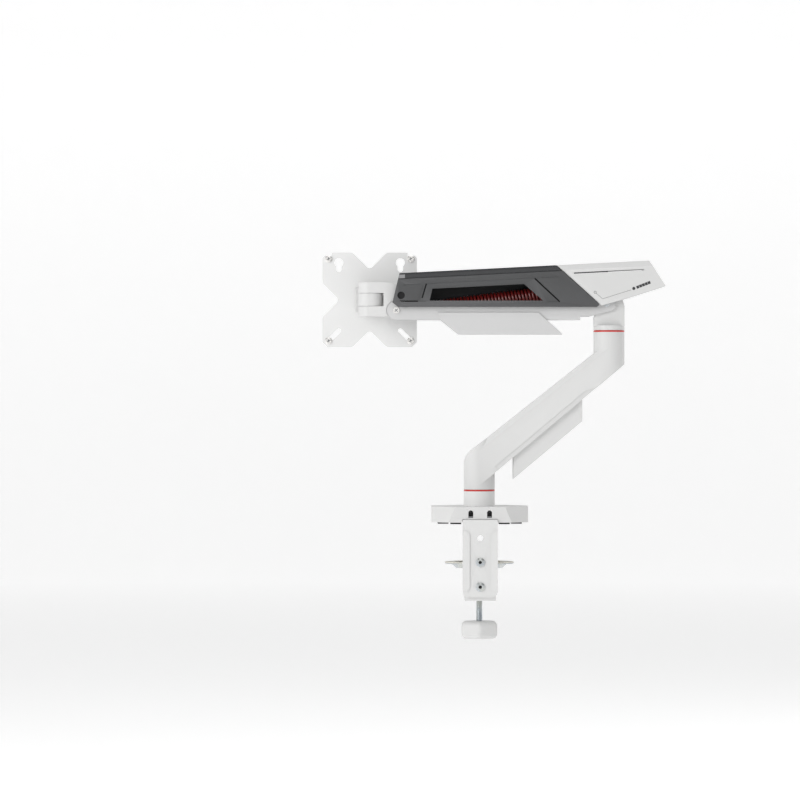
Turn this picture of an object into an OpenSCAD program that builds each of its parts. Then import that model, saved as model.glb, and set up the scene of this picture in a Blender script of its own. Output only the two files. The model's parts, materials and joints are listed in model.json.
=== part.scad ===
// Desk-clamped monitor arm, shown raised: a swivelling lower arm, a sprung parallelogram upper arm
// and a pan, tilt and rotate head with a plate for flat screens. Millimetres, +Z up.
// The origin is on the desk top, under the middle of the post. The clamp's back plate is at -Y and
// the screen mounts on the +Y side of the head, which is at the -X end of the upper arm.

/* [Base] */
// Width of the base housing
base_w = 116; // [112:1:120]
// Depth of the base housing
base_d = 108; // [106:1:112]
// Height of the base housing's top above the desk
base_top = 20.7; // [20.5:0.1:22]
// Diameter of the post and of both swivel tubes
tube_d = 37.5; // [37:0.1:38]
// Height of the top of the fixed post
post_top = 38.5; // [38.3:0.1:38.7]

/* [Clamp] */
// Width of the clamp's back plate
clamp_w = 42; // [40:1:43]
// Depth of the back plate's lower edge below the desk top
clamp_drop = 87.2; // [86:0.2:88]
// Distance from the desk top down to the pressure pad
jaw_gap = 46.5; // [44:0.5:48]
// Diameter of the pressure plate
pressure_d = 83.4; // [70:0.2:84]

/* [Lower arm] */
// Distance between the base and elbow swivel axes
arm_reach = 156.7; // [156:0.1:158]
// Height of the top of the lower arm, under the elbow ring
elbow_z = 230.6; // [230.5:0.1:230.8]
// Slope of the lower edge of the beam
beam_low_angle = 40; // [39.5:0.1:40.5]
// Slope of the upper edge of the beam
beam_top_angle = 38.3; // [38:0.1:38.6]

/* [Upper arm] */
// Horizontal distance between the upper pivots
lift_run = 253.4; // [253:0.1:254]
// Height difference between the upper pivots
lift_rise = 8.4; // [8:0.1:8.8]
// Half width over the side covers
cover_half = 22; // [21.8:0.1:23]
// Thickness of the cover shells
skin = 2.5; // [2.3:0.1:2.5]
// Outside diameter of the spring
spring_d = 22; // [20:0.5:22]
// Wire diameter of the spring
wire_d = 3.4; // [2.6:0.1:3.6]
// Pitch of the spring's turns
spring_pitch = 4.1; // [4:0.1:6]

/* [Head] */
// Distance from the head's upper pivot back to the pan axis
pan_back = 38.4; // [38:0.1:39]
// Distance from the pan axis forward to the tilt axis
tilt_y = 31; // [31:0.5:32]
// Width and height of the screen plate
vesa_size = 115.5; // [114:0.5:118]
// Side of the larger square of screw holes
vesa_pitch = 100; // [100]
// Side of the smaller square of screw holes
vesa_small = 75; // [75]
// Thickness of the screen plate
vesa_t = 3; // [2.5:0.1:3]

/* [Hidden] */
$fn = 64;

white = "#e3e3e1";
link_white = "#d2d2d1";
grey = "#5b5c5e";
black = "#242426";
red = "#b5322a";
zinc = "#b9bfc4";
steel = "#8d9196";
polymer = "#efeee8";
rubber = "#2b2b2c";

tube_r = tube_d / 2;
running = 0.05;
eps = 0.01;

// Base
base_back = -56;
base_wall = 3;
base_low = 2;
corner_low = 38;
corner_tilt = 16.8;
base_inside = base_top - base_wall;
plate_low = 5.5;
plate_t = 4;
plate_top = plate_low + plate_t;
arch_w = 5.8;
arch_x = 11.2;
arch_low = 7.7;
arch_high = 16.6;
housing_screw_spots = [[-44, 1], [44, 1], [0, 41]];
flange_t = 4;
flange_r = 31;
post_bolt_r = 25;
spindle_r = 10;
spindle_top = 74;
ring_t = 2;

// Clamp
sheet_t = 3;
plate_back = base_back - sheet_t;
tongue_low = plate_low - sheet_t;
tongue_y = -44;
tongue_end = -31;
rib_w = 7.5;
jaw_w = 37.4;
jaw_t = 4;
jaw_top = -38;
jaw_low = -91.5;
jaw_leg_t = 5;
jaw_boss = 6;
jaw_bolt_z = [-74.7, -45.3];
spare_hole_z = -16.5;
spare_hole_r = 3.5;
m8_r = 4;
m6_r = 3;
nut_play = 0.05;
knob_low = -139.5;
knob_high = -118.3;
knob_round = 6;
knob_corner_r = 24.9;
journal_r = 3;
dish_sheet = 1.2;
rim_low = -jaw_gap - 2.3;
dish_floor = -jaw_gap - 7.5;
socket_low = -jaw_gap - 13.5;

// Lower arm
low_x = 19.1;
low_z = 61.4;
top_x = 5.7;
top_z = 99.9;
arm_foot_z = 40.7;
bush_r = 14;
elbow_socket_z = 194;

// Pivots of the parallelogram, as [x, z]
pivot_drop = [-5.8, -17.9];
elbow_upper = [158.9, 283];
elbow_lower = elbow_upper + pivot_drop;
head_upper = elbow_upper - [lift_run, lift_rise];
head_lower = head_upper + pivot_drop;
pin_r = 4;
pin_head_r = 6;

// Layers across the upper arm, as distances from the middle plane
lug_half = 11;
cheek_in = 11.3;
cheek_out = 14.3;
frame_in = 15;
frame_out = 18;
cover_in = cover_half - skin;
clip_in = 14.5;
clip_out = 16.3;

// Upper arm covers: the slanting top line
crown_x = -96.4;
crown_z = 301.5;
crown_angle = 2.9;
crown_half = 15;
crown_drop = 6.5;
strip_t = 2;
tail_seam_angle = 42.2;
tail_start = [92.2, 311.7];

// Spring line
spring_from = [-68, 256.4];
spring_to = [116, 280.1];
spring_length = norm(spring_to - spring_from);
spring_tilt = atan2(spring_to[1] - spring_from[1], spring_to[0] - spring_from[0]);
spring_rest = spring_from - 10 * [cos(spring_tilt), sin(spring_tilt)];
plug_r = 7.2;
spring_pin_half = 13.5;

// Head
pan_x = head_upper[0] - pan_back;
barrel_r = 13.2;
link_pocket_r = 12;
knuckle_bulge = 2.6;
fork_low = 249.5;
fork_high = 290.5;
slot_low = 261.6;
slot_high = 277.6;
slot_end = -115.5;
head_z = 270.8;
tilt_half = 17;
tongue_half = 9;
tilt_r = 14.5;
wall_in = 45;
wall_out = 49;
disc_t = 2;
vesa_back = 51.3;
vesa_front = vesa_back + vesa_t;
hub_r = 6;
stud_length = 10;
notch_depth = 20.9;
notch_tip_r = 5;
notch_shoulder_r = 6.3;

// An outline in X and Z, as thick as the stretch of Y given
module xz_slab(points, y_low, y_high)
    translate([0, y_high, 0])
        rotate([90, 0, 0])
            linear_extrude(y_high - y_low)
                polygon(points);

// A section in Y and Z, drawn out along X
module x_bar(points, x_low, x_high)
    translate([x_low, 0, 0])
        rotate([90, 0, 90])
            linear_extrude(x_high - x_low)
                polygon(points);

// A round bar along Y through a point [x, z]
module y_bar(spot, r, y_low, y_high)
    translate([spot[0], y_high, spot[1]])
        rotate([90, 0, 0])
            cylinder(r = r, h = y_high - y_low);

// A round bar along X through a point [y, z]
module x_rod(spot, r, x_low, x_high)
    translate([x_low, spot[0], spot[1]])
        rotate([0, 90, 0])
            cylinder(r = r, h = x_high - x_low);

// A straight cut in X and Z from p to q
module line_cut(p, q, w, y_low, y_high)
    translate([p[0], y_low, p[1]])
        rotate([0, -atan2(q[1] - p[1], q[0] - p[0]), 0])
            translate([0, 0, -w / 2])
                cube([norm(q - p), y_high - y_low, w]);

// What is drawn on the +Y side, put on the side given: 1 for +Y and -1 for -Y
module on_side(side) {
    if (side > 0)
        children();
    else
        mirror([0, 1, 0])
            children();
}

// A hexagon nut on the Z axis
module hex_nut(across, h, bore_r)
    difference() {
        cylinder(r = across / sqrt(3), h = h, $fn = 6);
        translate([0, 0, -1])
            cylinder(r = bore_r, h = h + 2);
    }

// A button head with a hexagon socket on the Z axis, its flat side at z = 0
module button_head(r, h, socket_r)
    difference() {
        union() {
            cylinder(r = r, h = h * 0.45);
            translate([0, 0, h * 0.45])
                cylinder(r1 = r, r2 = r * 0.6, h = h * 0.55);
        }
        translate([0, 0, h * 0.4])
            cylinder(r = socket_r, h = h, $fn = 6);
    }

// ---- Base ----

// The slanting cut at one corner of the base, with its inner face moved in by inset
module corner_cut(inset, y_edge)
    translate([corner_low, y_edge, base_low])
        rotate([0, 0, 45])
            rotate([-corner_tilt, 0, 0])
                translate([-60, inset - 60, -30])
                    cube([120, 60, 90]);

module base_block(inset, low, high) {
    half = base_w / 2 - inset;
    difference() {
        translate([-half, base_back + inset, low])
            cube([2 * half, base_d - 2 * inset, high - low]);
        for (flip = [0, 1])
            mirror([flip, 0, 0])
                corner_cut(inset, base_back);
        translate([0, 2 * base_back + base_d, 0])
            mirror([0, 1, 0])
                for (flip = [0, 1])
                    mirror([flip, 0, 0])
                        corner_cut(inset, base_back);
    }
}

module arch_window(x) {
    top = arch_high - arch_w / 2;
    y_bar([x, top], arch_w / 2, base_back - 1, base_back + base_wall + 1);
    translate([x - arch_w / 2, base_back - 1, arch_low])
        cube([arch_w, base_wall + 2, top - arch_low]);
}

module base_housing()
    color(white)
        difference() {
            union() {
                difference() {
                    base_block(0, base_low, base_top);
                    base_block(base_wall, base_low - 1, base_inside);
                }
                for (spot = housing_screw_spots)
                    translate([spot[0], spot[1], plate_top])
                        cylinder(r = 4.5, h = base_inside - plate_top + eps);
            }
            translate([0, 0, base_low])
                cylinder(r = tube_r + 0.3, h = base_top);
            for (x = [-arch_x, arch_x])
                arch_window(x);
            translate([-clamp_w / 2 - 0.4, base_back - 1, 0])
                cube([clamp_w + 0.8, base_wall + 2, plate_low + 0.4]);
            for (spot = housing_screw_spots)
                translate([spot[0], spot[1], plate_top - 1])
                    cylinder(r = 2, h = 8);
        }

module base_plate()
    color(steel)
        difference() {
            translate([0, 0, plate_low])
                linear_extrude(plate_t)
                    polygon([
                        [-33, -51], [33, -51], [52, -32], [52, 28],
                        [33, 47], [-33, 47], [-52, 28], [-52, -32]
                    ]);
            for (x = [-arch_x, arch_x])
                translate([x, tongue_y, 0])
                    cylinder(r = m6_r + 0.2, h = base_top);
            for (spot = housing_screw_spots)
                translate([spot[0], spot[1], 0])
                    cylinder(r = 2.2, h = base_top);
            for (turn = [45:90:315])
                rotate([0, 0, turn])
                    translate([post_bolt_r, 0, 0])
                        cylinder(r = m6_r + nut_play, h = base_top);
        }

// Four rubber feet on each side and a round one under the post
module base_pads()
    color(rubber) {
        for (side = [-1, 1])
            for (pad = [[22.5, -50], [37.5, -31], [37.5, 8], [22.5, 26]])
                translate([side * (pad[0] + 6.5) - 6.5, pad[1], 0])
                    cube([13, 18, plate_low]);
        cylinder(r = 15, h = plate_low);
    }

module base_post()
    color(white)
        difference() {
            union() {
                translate([0, 0, plate_top])
                    cylinder(r = flange_r, h = flange_t);
                translate([0, 0, plate_top])
                    cylinder(r = tube_r, h = post_top - plate_top);
            }
            translate([0, 0, plate_top - 1])
                cylinder(r = spindle_r, h = post_top);
            for (turn = [45:90:315])
                rotate([0, 0, turn])
                    translate([post_bolt_r, 0, plate_top - 1])
                        cylinder(r = m6_r + 0.2, h = flange_t + 2);
        }

module base_spindle()
    color(zinc)
        translate([0, 0, plate_top])
            cylinder(r = spindle_r, h = spindle_top - plate_top);

module post_bolts()
    color(zinc)
        for (turn = [45:90:315])
            rotate([0, 0, turn])
                translate([post_bolt_r, 0, plate_top + flange_t]) {
                    translate([0, 0, -flange_t - plate_t])
                        cylinder(r = m6_r, h = flange_t + plate_t + eps);
                    button_head(5, 3.2, 2.2);
                }

module housing_screws()
    color(zinc)
        for (spot = housing_screw_spots)
            translate([spot[0], spot[1], plate_low - 2.4]) {
                cylinder(r = 3.6, h = 2.4);
                cylinder(r = 1.95, h = 11);
            }

module base_ring()
    color(red)
        translate([0, 0, post_top])
            difference() {
                cylinder(r = tube_r, h = ring_t);
                translate([0, 0, -1])
                    cylinder(r = spindle_r + 0.4, h = ring_t + 2);
            }

// ---- Clamp ----

module back_plate_rib(side) {
    edge = side * clamp_w / 2;
    inner = side * (clamp_w / 2 - rib_w - 1);
    mid = side * (clamp_w / 2 - rib_w + 2.5);
    xz_slab(
        [[edge, -8], [mid, -8], [inner, -12], [inner, -76], [mid, -80], [edge, -80]],
        plate_back - 1.3, plate_back + eps
    );
}

module clamp_back_plate()
    color(white)
        difference() {
            union() {
                xz_slab(
                    [
                        [-clamp_w / 2, plate_low], [clamp_w / 2, plate_low],
                        [clamp_w / 2, 6 - clamp_drop], [clamp_w / 2 - 1.5, 2.4 - clamp_drop],
                        [clamp_w / 2 - 5, -clamp_drop], [5 - clamp_w / 2, -clamp_drop],
                        [1.5 - clamp_w / 2, 2.4 - clamp_drop], [-clamp_w / 2, 6 - clamp_drop]
                    ],
                    plate_back, base_back
                );
                translate([-clamp_w / 2, plate_back, tongue_low])
                    cube([clamp_w, tongue_end - plate_back, sheet_t]);
                back_plate_rib(-1);
                back_plate_rib(1);
            }
            for (z = concat(jaw_bolt_z, [spare_hole_z]))
                y_bar([0, z], z == spare_hole_z ? spare_hole_r : m6_r + 0.2, plate_back - 3, base_back + 1);
            for (x = [-arch_x, arch_x])
                translate([x, tongue_y, tongue_low]) {
                    translate([0, 0, -1])
                        cylinder(r = m6_r + 0.2, h = sheet_t + 2);
                    translate([0, 0, -0.1])
                        cylinder(r1 = 6, r2 = m6_r + 0.2, h = 2.6);
                }
        }

module tongue_bolts()
    color(zinc)
        for (x = [-arch_x, arch_x])
            translate([x, tongue_y, tongue_low]) {
                translate([0, 0, 0.1])
                    cylinder(r1 = 5.6, r2 = m6_r, h = 2.4);
                translate([0, 0, 0.1])
                    cylinder(r = m6_r, h = 12);
            }

module tongue_nuts()
    color(zinc)
        for (x = [-arch_x, arch_x])
            translate([x, tongue_y, plate_top])
                hex_nut(10, 4.5, m6_r + nut_play);

module clamp_jaw()
    color(white)
        difference() {
            union() {
                translate([-jaw_w / 2, base_back, jaw_low])
                    cube([jaw_w, jaw_t, jaw_top - jaw_low]);
                translate([-jaw_w / 2, base_back, jaw_low])
                    cube([jaw_w, -base_back, jaw_leg_t]);
                translate([0, 0, jaw_low])
                    cylinder(r = jaw_w / 2, h = jaw_leg_t);
                translate([0, 0, jaw_low + jaw_leg_t - eps])
                    cylinder(r = 9, h = jaw_boss);
                for (side = [-1, 1])
                    translate([side * (jaw_w / 2 - 1.5) - 1.5, 0, 0])
                        x_bar(
                            [
                                [base_back + jaw_t - eps, -64], [base_back + jaw_t - eps, -89],
                                [-8, -89], [-8, -85]
                            ],
                            0, 3
                        );
            }
            translate([0, 0, jaw_low - 1])
                cylinder(r = m8_r + running, h = 20);
            for (z = jaw_bolt_z)
                y_bar([0, z], m6_r + 0.2, base_back - 1, base_back + jaw_t + 1);
        }

module jaw_bolts()
    color(zinc)
        for (z = jaw_bolt_z) {
            y_bar([0, z], m6_r, plate_back - eps, base_back + jaw_t + 6);
            translate([0, plate_back, z])
                rotate([90, 0, 0])
                    button_head(5.5, 3.2, 2.2);
        }

module jaw_nuts()
    color(zinc)
        for (z = jaw_bolt_z)
            translate([0, base_back + jaw_t, z])
                rotate([-90, 0, 0])
                    hex_nut(10, 5, m6_r + nut_play);

// A pressed steel dish with a flat rim and a socket for the end of the screw
module pressure_plate()
    color(zinc)
        rotate_extrude()
            polygon([
                [journal_r + running, socket_low], [8, socket_low], [8, dish_floor],
                [28.5, dish_floor], [34, rim_low], [pressure_d / 2, rim_low],
                [pressure_d / 2, rim_low + dish_sheet], [33.2, rim_low + dish_sheet],
                [27.7, dish_floor + dish_sheet], [journal_r + running, dish_floor + dish_sheet]
            ]);

module pressure_pad()
    color(rubber)
        translate([0, 0, rim_low + dish_sheet])
            difference() {
                cylinder(r = pressure_d / 2, h = -jaw_gap - rim_low - dish_sheet);
                translate([0, 0, -1])
                    cylinder(r = 30, h = 6);
            }

module clamp_screw()
    color(zinc)
        union() {
            translate([0, 0, knob_low + 7])
                cylinder(r = m8_r, h = socket_low - 0.3 - knob_low - 7);
            translate([0, 0, socket_low - 0.4])
                cylinder(r = journal_r, h = dish_floor + dish_sheet + 2 - socket_low + 0.4);
        }

module clamp_knob()
    color(white)
        difference() {
            hull()
                for (z = [knob_low + knob_round, knob_high - knob_round])
                    for (turn = [30:60:330])
                        rotate([0, 0, turn])
                            translate([knob_corner_r - knob_round / cos(30), 0, z])
                                sphere(r = knob_round, $fn = 32);
            translate([0, 0, knob_low + 7])
                cylinder(r = m8_r, h = 30);
        }

module screw_clip()
    color(steel)
        translate([0, 0, dish_floor + dish_sheet + 0.3])
            difference() {
                cylinder(r = 5.5, h = 1);
                translate([0, 0, -1])
                    cylinder(r = journal_r, h = 3);
            }

// ---- Lower arm ----

function beam_low(x) = low_z + (x - low_x) * tan(beam_low_angle);
function beam_top(x) = top_z + (x - top_x) * tan(beam_top_angle);

// The side outline of the whole casting, with the rounded heel at the base
function casting_outline() = [
    [-tube_r - 1, arm_foot_z - 1], [-tube_r - 1, 72], [-tube_r, 73], [-17.6, 78.5], [-15.2, 82.6],
    [-10.5, 87.6], [3.3, beam_top(3.3)], [arm_reach - tube_r - 1, beam_top(arm_reach - tube_r - 1)],
    [arm_reach - tube_r - 1, elbow_z + 1], [arm_reach + tube_r + 1, elbow_z + 1],
    [arm_reach + tube_r + 1, 195.2], [arm_reach + tube_r, 193], [arm_reach + tube_r - 1.2, 191],
    [tube_r + 1.5, beam_low(tube_r + 1.5)], [tube_r + 1.5, arm_foot_z - 1]
];

// The beam between the two tubes: flat sides, with a slanting facet along both top edges
module beam()
    difference() {
        xz_slab(
            [
                [0, beam_low(0)], [arm_reach, beam_low(arm_reach)],
                [arm_reach, beam_top(arm_reach)], [0, beam_top(0)]
            ],
            -tube_r, tube_r
        );
        for (side = [-1, 1])
            on_side(side)
                translate([0, 0, beam_top(0)])
                    rotate([0, -beam_top_angle, 0])
                        x_bar(
                            [[tube_r + eps, -6], [tube_r + 1, -6], [tube_r + 1, 1], [tube_r - 3, 1],
                                [tube_r - 2.6, eps]],
                            -20, 260
                        );
    }

// The trough under the beam that takes the cables
module beam_trough()
    translate([low_x, 0, low_z])
        rotate([0, -beam_low_angle, 0])
            translate([8, -9, -10])
                cube([152, 18, 24]);

// The shallow step along both lower edges where the cable cover slides in
module beam_step(side)
    on_side(side)
        translate([low_x, 0, low_z])
            rotate([0, -beam_low_angle, 0])
                xz_slab([[4, -1], [160, -1], [156, 1.5], [146, 5.8], [8, 5.8], [4, 5.8]],
                    tube_r - 0.8, tube_r + 1);

module lower_arm_casting()
    color(white)
        difference() {
            intersection() {
                union() {
                    translate([0, 0, arm_foot_z])
                        cylinder(r = tube_r, h = 75);
                    beam();
                    translate([arm_reach, 0, 160])
                        cylinder(r = tube_r, h = elbow_z - 160);
                }
                xz_slab(casting_outline(), -tube_r - 1, tube_r + 1);
            }
            translate([0, 0, arm_foot_z - 1])
                cylinder(r = bush_r, h = spindle_top + 3 - arm_foot_z);
            translate([arm_reach, 0, elbow_socket_z])
                cylinder(r = bush_r, h = 60);
            beam_trough();
            beam_step(-1);
            beam_step(1);
        }

module bush(low, high)
    translate([0, 0, low])
        difference() {
            cylinder(r = bush_r - running, h = high - low);
            translate([0, 0, -1])
                cylinder(r = spindle_r + running, h = high - low + 2);
        }

module base_bush()
    color(polymer)
        bush(arm_foot_z, 72);

// A trough-shaped cover that hangs under the beam, with vertical ends
module lower_cable_cover()
    color(white)
        difference() {
            cover_band(40.6, 124, 0, 26.4, 12.9);
            cover_band(30, 134, -30, 24, 10.9);
            cover_band(30, 134, -30, -0.1, 20);
        }

module cover_band(x_low, x_high, down_low, down_high, half)
    xz_slab(
        [
            [x_low, beam_low(x_low) - down_low], [x_low, beam_low(x_low) - down_high],
            [x_high, beam_low(x_high) - down_high], [x_high, beam_low(x_high) - down_low]
        ],
        -half, half
    );

module elbow_bush()
    color(polymer)
        translate([arm_reach, 0, 0])
            bush(elbow_socket_z + 3, elbow_z);

module elbow_ring()
    color(red)
        translate([arm_reach, 0, elbow_z])
            difference() {
                cylinder(r = tube_r, h = ring_t);
                translate([0, 0, -1])
                    cylinder(r = spindle_r + 0.4, h = ring_t + 2);
            }

// ---- Elbow ----

knuckle_low = elbow_z + ring_t + 0.3;
knuckle_round_top = 238.5;

module elbow_spindle()
    color(zinc)
        translate([arm_reach, 0, elbow_socket_z + 2])
            cylinder(r = spindle_r, h = 252 - elbow_socket_z - 2);

module elbow_knuckle()
    color(white)
        difference() {
            union() {
                translate([arm_reach, 0, knuckle_low])
                    cylinder(r = tube_r, h = knuckle_round_top - knuckle_low);
                xz_slab(
                    [
                        [138.3, knuckle_round_top - 1], [175.1, knuckle_round_top - 1],
                        [175.1, 262], [168.4, 283], [149.4, 283], [146, 262], [138.3, 248]
                    ],
                    -lug_half, lug_half
                );
                y_bar(elbow_upper, 9.5, -lug_half, lug_half);
            }
            translate([arm_reach, 0, knuckle_low - 1])
                cylinder(r = spindle_r, h = 252 - knuckle_low + 1);
            y_bar(elbow_upper, pin_r + running, -20, 20);
            y_bar(elbow_lower, pin_r + running, -20, 20);
        }

// ---- Upper arm ----

function frame_top(x) = 292 + (x + 80) * 0.0213;

// A steel channel: two side plates joined by a web along the top, the -Y one with a window
module upper_arm_frame()
    color(black)
        difference() {
            union() {
                for (side = [-1, 1])
                    on_side(side) {
                        xz_slab(
                            [
                                [-94.5, 267.6], [-70, 264.4], [120, 266], [150, 272], [159, 273],
                                [167, 277], [168, 290], [160, 297], [-80, frame_top(-80)],
                                [-97, 281]
                            ],
                            frame_in, frame_out
                        );
                        y_bar(head_upper, 7, frame_in, frame_out);
                    }
                xz_slab(
                    [
                        [-80, frame_top(-80) - 3], [-80, frame_top(-80)],
                        [150, frame_top(150)], [150, frame_top(150) - 3]
                    ],
                    -frame_in - eps, frame_in + eps
                );
            }
            xz_slab([[-66, 262], [86, 262], [58, 289.6], [-61, 285]], -20, 0);
            y_bar(head_upper, pin_r, -20, 20);
            y_bar(elbow_upper, pin_r, -20, 20);
        }

// A section drawn along the slanting top line: points are [half width, distance below the line]
module crown_bar(points)
    translate([crown_x, 0, crown_z])
        rotate([0, -crown_angle, 0])
            x_bar(points, -40, 380);

// The side outline of the dark covers
side_outline = [
    [-96.4, 301.5], [91.6, 311.1], [143.5, 264.6], [143.6, 262.6], [141.3, 260.6],
    [-98.2, 260.6], [-105, 266]
];
window_outline = [[-56.8, 282.5], [53.4, 288.2], [76.5, 268.2], [-60.2, 268.2]];

// Fine grooves in the face of a side cover
module cover_grooves() {
    face = cover_half - 0.5;
    line_cut([-89.8, 287.1], [93.5, 296.7], 0.6, face, cover_half + 1);
    line_cut([-68, 287], [-73.4, 269.1], 0.6, face, cover_half + 1);
    line_cut([-74.1, 267.5], [-64.4, 267.5], 0.6, face, cover_half + 1);
    line_cut([81.8, 266.8], [94, 266.8], 0.6, face, cover_half + 1);
    y_bar([-89.8, 287.1], 1.2, face, cover_half + 1);
    y_bar([93.5, 296.7], 1.2, face, cover_half + 1);
}

// The openings that go through a side cover
module cover_slots() {
    low = cover_in - 1;
    high = cover_half + 1;
    xz_slab(window_outline, low, high);
    line_cut([-64, 288.6], [-69.2, 271.3], 1.6, low, high);
    line_cut([-95.8, 267.5], [-74.1, 267.5], 1.5, low, high);
    line_cut([66.4, 294.9], [96.5, 266.8], 1.8, low, high);
    y_bar(head_upper, 4.5, low, high);
}

module side_cover(side)
    color(grey)
        on_side(side)
            difference() {
                union() {
                    difference() {
                        intersection() {
                            xz_slab(side_outline, lug_half, cover_half);
                            crown_bar([
                                [lug_half, -80], [cover_half, -80], [cover_half, -crown_drop],
                                [crown_half + 2.1, -strip_t], [lug_half, -strip_t]
                            ]);
                        }
                        crown_bar([
                            [0, -90], [cover_in, -90], [cover_in, -crown_drop - 1.2],
                            [crown_half + 0.6, -strip_t - 2.2], [0, -strip_t - 2.2]
                        ]);
                        crown_bar([
                            [cover_half - 1.6, -crown_drop - 1], [cover_half + 1, -crown_drop - 1],
                            [cover_half + 1, -crown_drop], [cover_half - 1.6, -crown_drop]
                        ]);
                    }
                    for (spot = [[-80, 279], [104, 284]])
                        y_bar(spot, 4, frame_out, cover_in + 0.5);
                }
                cover_slots();
                cover_grooves();
            }

module side_cover_back()
    side_cover(-1);

module side_cover_front()
    side_cover(1);

module top_strip()
    color(black)
        intersection() {
            xz_slab(side_outline, -cover_half, cover_half);
            crown_bar([
                [-crown_half - 2.1, -strip_t], [crown_half + 2.1, -strip_t],
                [crown_half, 0], [-crown_half, 0]
            ]);
        }

// The side outline of the white tail over the elbow
tail_outline = [
    tail_start, [204, 317.1], [224.1, 285.6], [175.9, 270.4], [146.7, 262.3]
];

module tail_cover(side)
    color(white)
        on_side(side)
            difference() {
                union() {
                    difference() {
                        intersection() {
                            xz_slab(tail_outline, 0, cover_half);
                            crown_bar([
                                [0, -90], [cover_half, -90], [cover_half, -crown_drop],
                                [crown_half, 0], [0, 0]
                            ]);
                        }
                        intersection() {
                            xz_slab(
                                [[60, 240], [60, 322.5], [197.6, 322.5], [226.3, 277.5],
                                    [226.3, 240]],
                                -1, cover_in
                            );
                            crown_bar([
                                [-1, -90], [cover_in, -90], [cover_in, -crown_drop - 1],
                                [crown_half - 1, -skin], [-1, -skin]
                            ]);
                        }
                    }
                    for (spot = [[131, 290], [148, 276.5]])
                        y_bar(spot, 3, frame_out, cover_in + 0.5);
                }
                line_cut([113.2, 301], [197.7, 305.4], 1.7, -1, cover_half + 1);
                translate([tail_start[0], 0, tail_start[1]])
                    rotate([0, tail_seam_angle, 0])
                        x_bar(
                            [[cover_half + eps, -1], [cover_half + eps, 3.4],
                                [cover_half - 1.2, -eps], [cover_half - 1.2, -1]],
                            -10, 90
                        );
            }

module tail_cover_back()
    tail_cover(-1);

module tail_cover_front()
    tail_cover(1);

// A plain pin across the arm with a low head at both ends
module cross_pin(spot, r, half, head_t) {
    y_bar(spot, r, -half - head_t, half + head_t);
    for (side = [-1, 1])
        on_side(side)
            y_bar(spot, pin_head_r, half, half + head_t);
}

module head_pivot_pin()
    color(black)
        cross_pin(head_upper, pin_r, frame_out, 1.2);

module elbow_pivot_pin()
    color(zinc)
        cross_pin(elbow_upper, pin_r, frame_out, 1.2);

// The coil as one swept wire
function coil_point(t) =
    let (turn = 360 * t * spring_length / spring_pitch)
    [
        t * spring_length,
        (spring_d - wire_d) / 2 * sin(turn),
        (spring_d - wire_d) / 2 * cos(turn)
    ];

module lift_spring() {
    sides = 5;
    steps = round(9 * spring_length / spring_pitch);
    rings = [
        for (i = [0:steps])
            let (centre = coil_point(i / steps))
            let (angle = 360 * i / steps * spring_length / spring_pitch)
            for (j = [0:sides - 1])
                let (a = 360 * j / sides)
                [
                    centre[0] + wire_d / 2 * sin(a),
                    centre[1] + wire_d / 2 * cos(a) * sin(angle),
                    centre[2] + wire_d / 2 * cos(a) * cos(angle)
                ]
    ];
    quads = [
        for (i = [0:steps - 1])
            for (j = [0:sides - 1])
                let (k = (j + 1) % sides)
                [i * sides + j, i * sides + k, (i + 1) * sides + k, (i + 1) * sides + j]
    ];
    first = [for (j = [sides - 1:-1:0]) j];
    last = [for (j = [0:sides - 1]) steps * sides + j];
    color(red)
        translate([spring_from[0], 0, spring_from[1]])
            rotate([0, -spring_tilt, 0])
                polyhedron(points = rings, faces = concat([first], quads, [last]), convexity = 10);
}

// The bar across the frame that the tension screw pulls on
module tension_block()
    color(steel)
        difference() {
            translate([127, -frame_in, 274])
                cube([8, 2 * frame_in, 18]);
            translate([spring_to[0], 0, spring_to[1]])
                rotate([0, 90 - spring_tilt, 0])
                    cylinder(r = m6_r + 0.2, h = 40);
        }

// A plug inside the coil, a disc at its end and a hexagon head behind the bar
module tension_screw()
    color(zinc)
        translate([spring_to[0], 0, spring_to[1]])
            rotate([0, 90 - spring_tilt, 0]) {
                translate([0, 0, -12])
                    cylinder(r = plug_r, h = 14.5);
                translate([0, 0, 2.4])
                    cylinder(r = spring_d / 2, h = 2);
                translate([0, 0, 2.4])
                    cylinder(r = m6_r, h = 21);
                translate([0, 0, 20.2])
                    cylinder(r = 5, h = 3.4, $fn = 6);
            }

// ---- Lower link ----

// One cheek of the channel: round at the head end, stepped and rising at the elbow end
module link_cheek(side)
    on_side(side) {
        xz_slab(
            [
                [head_lower[0], 245.2], [121.6, 245.2], [121.6, 249.5], [133, 249.5],
                [160, 256.4], [164, 260], [164, 270], [158, 276], [148, 276], [139, 262.4],
                [-80, 262.4], [-86, 260.6], [head_lower[0] + 10.8, 260.6], [head_lower[0], 256.7]
            ],
            cheek_in, cheek_out
        );
        y_bar(head_lower, 11.5, cheek_in, cheek_out);
    }

module lower_link()
    color(link_white)
        difference() {
            union() {
                link_cheek(-1);
                link_cheek(1);
                translate([-42, -cheek_in - eps, 245.2])
                    cube([121.6 + 42, 2 * (cheek_in + eps), 3]);
            }
            y_bar(head_lower, 3.9, -20, 20);
            y_bar(elbow_lower, pin_r, -20, 20);
            y_bar(spring_rest, 3, -spring_pin_half, spring_pin_half);
        }

// A trough-shaped cover clipped over both cheeks
module link_cable_cover()
    color(link_white)
        difference() {
            xz_slab(
                [[-50.6, 254], [71.2, 254], [100.4, 227.6], [-25.2, 227.6], [-46.8, 245.2]],
                -clip_out, clip_out
            );
            translate([-60, -clip_in, 229.6])
                cube([180, 2 * clip_in, 40]);
        }

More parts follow.
